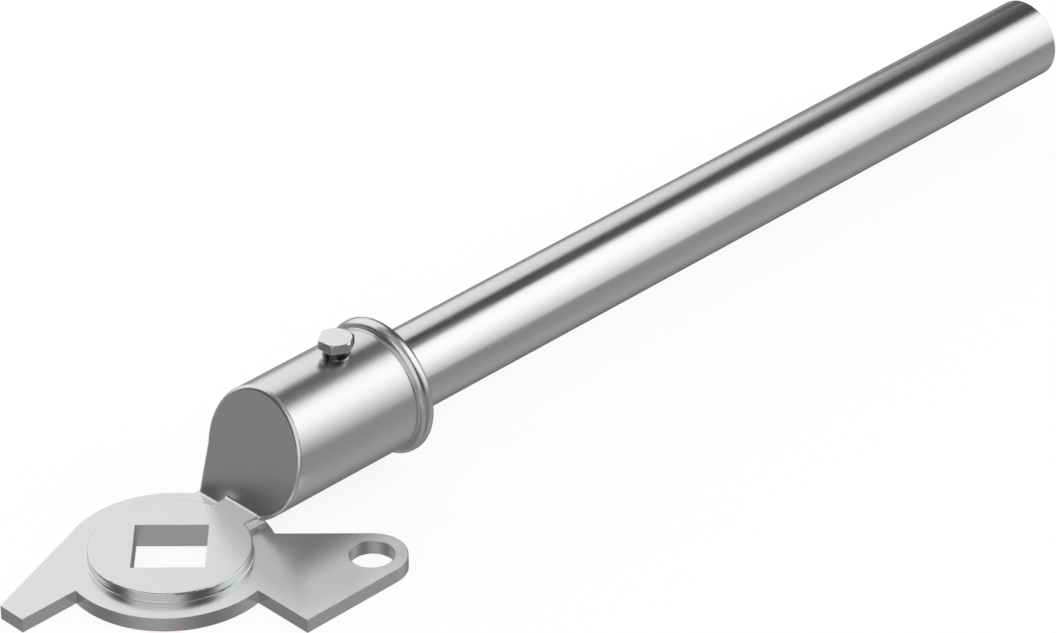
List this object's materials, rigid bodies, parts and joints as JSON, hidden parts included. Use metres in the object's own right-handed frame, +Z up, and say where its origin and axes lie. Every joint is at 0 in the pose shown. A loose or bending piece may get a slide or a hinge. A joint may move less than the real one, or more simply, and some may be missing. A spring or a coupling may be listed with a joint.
{
  "type": "valve hand lever",
  "caption": "Hand lever for a ball valve: flat hub plate with a square stem hole, stop arm and padlock arm, and a socket that holds a long tube handle with a hexagon screw.",
  "frame": {"origin": "on the axis of the square stem hole, at the underside of the hub plate", "axes": "+X along the tube handle towards its free end, +Z up along the valve stem, +Y to the left seen from the stem along the handle"},
  "size_m": [0.4405, 0.0865, 0.0505],
  "materials": {
    "cast_steel": "satin, evenly blasted cast surface",
    "tube_steel": "satin, drawn tube with a soft sheen",
    "screw_steel": "bright, smooth"
  },
  "bodies": {
    "root": {"lever_head": "cast_steel", "handle_tube": "tube_steel", "locking_screw": "screw_steel"}
  },
  "joints": []
}
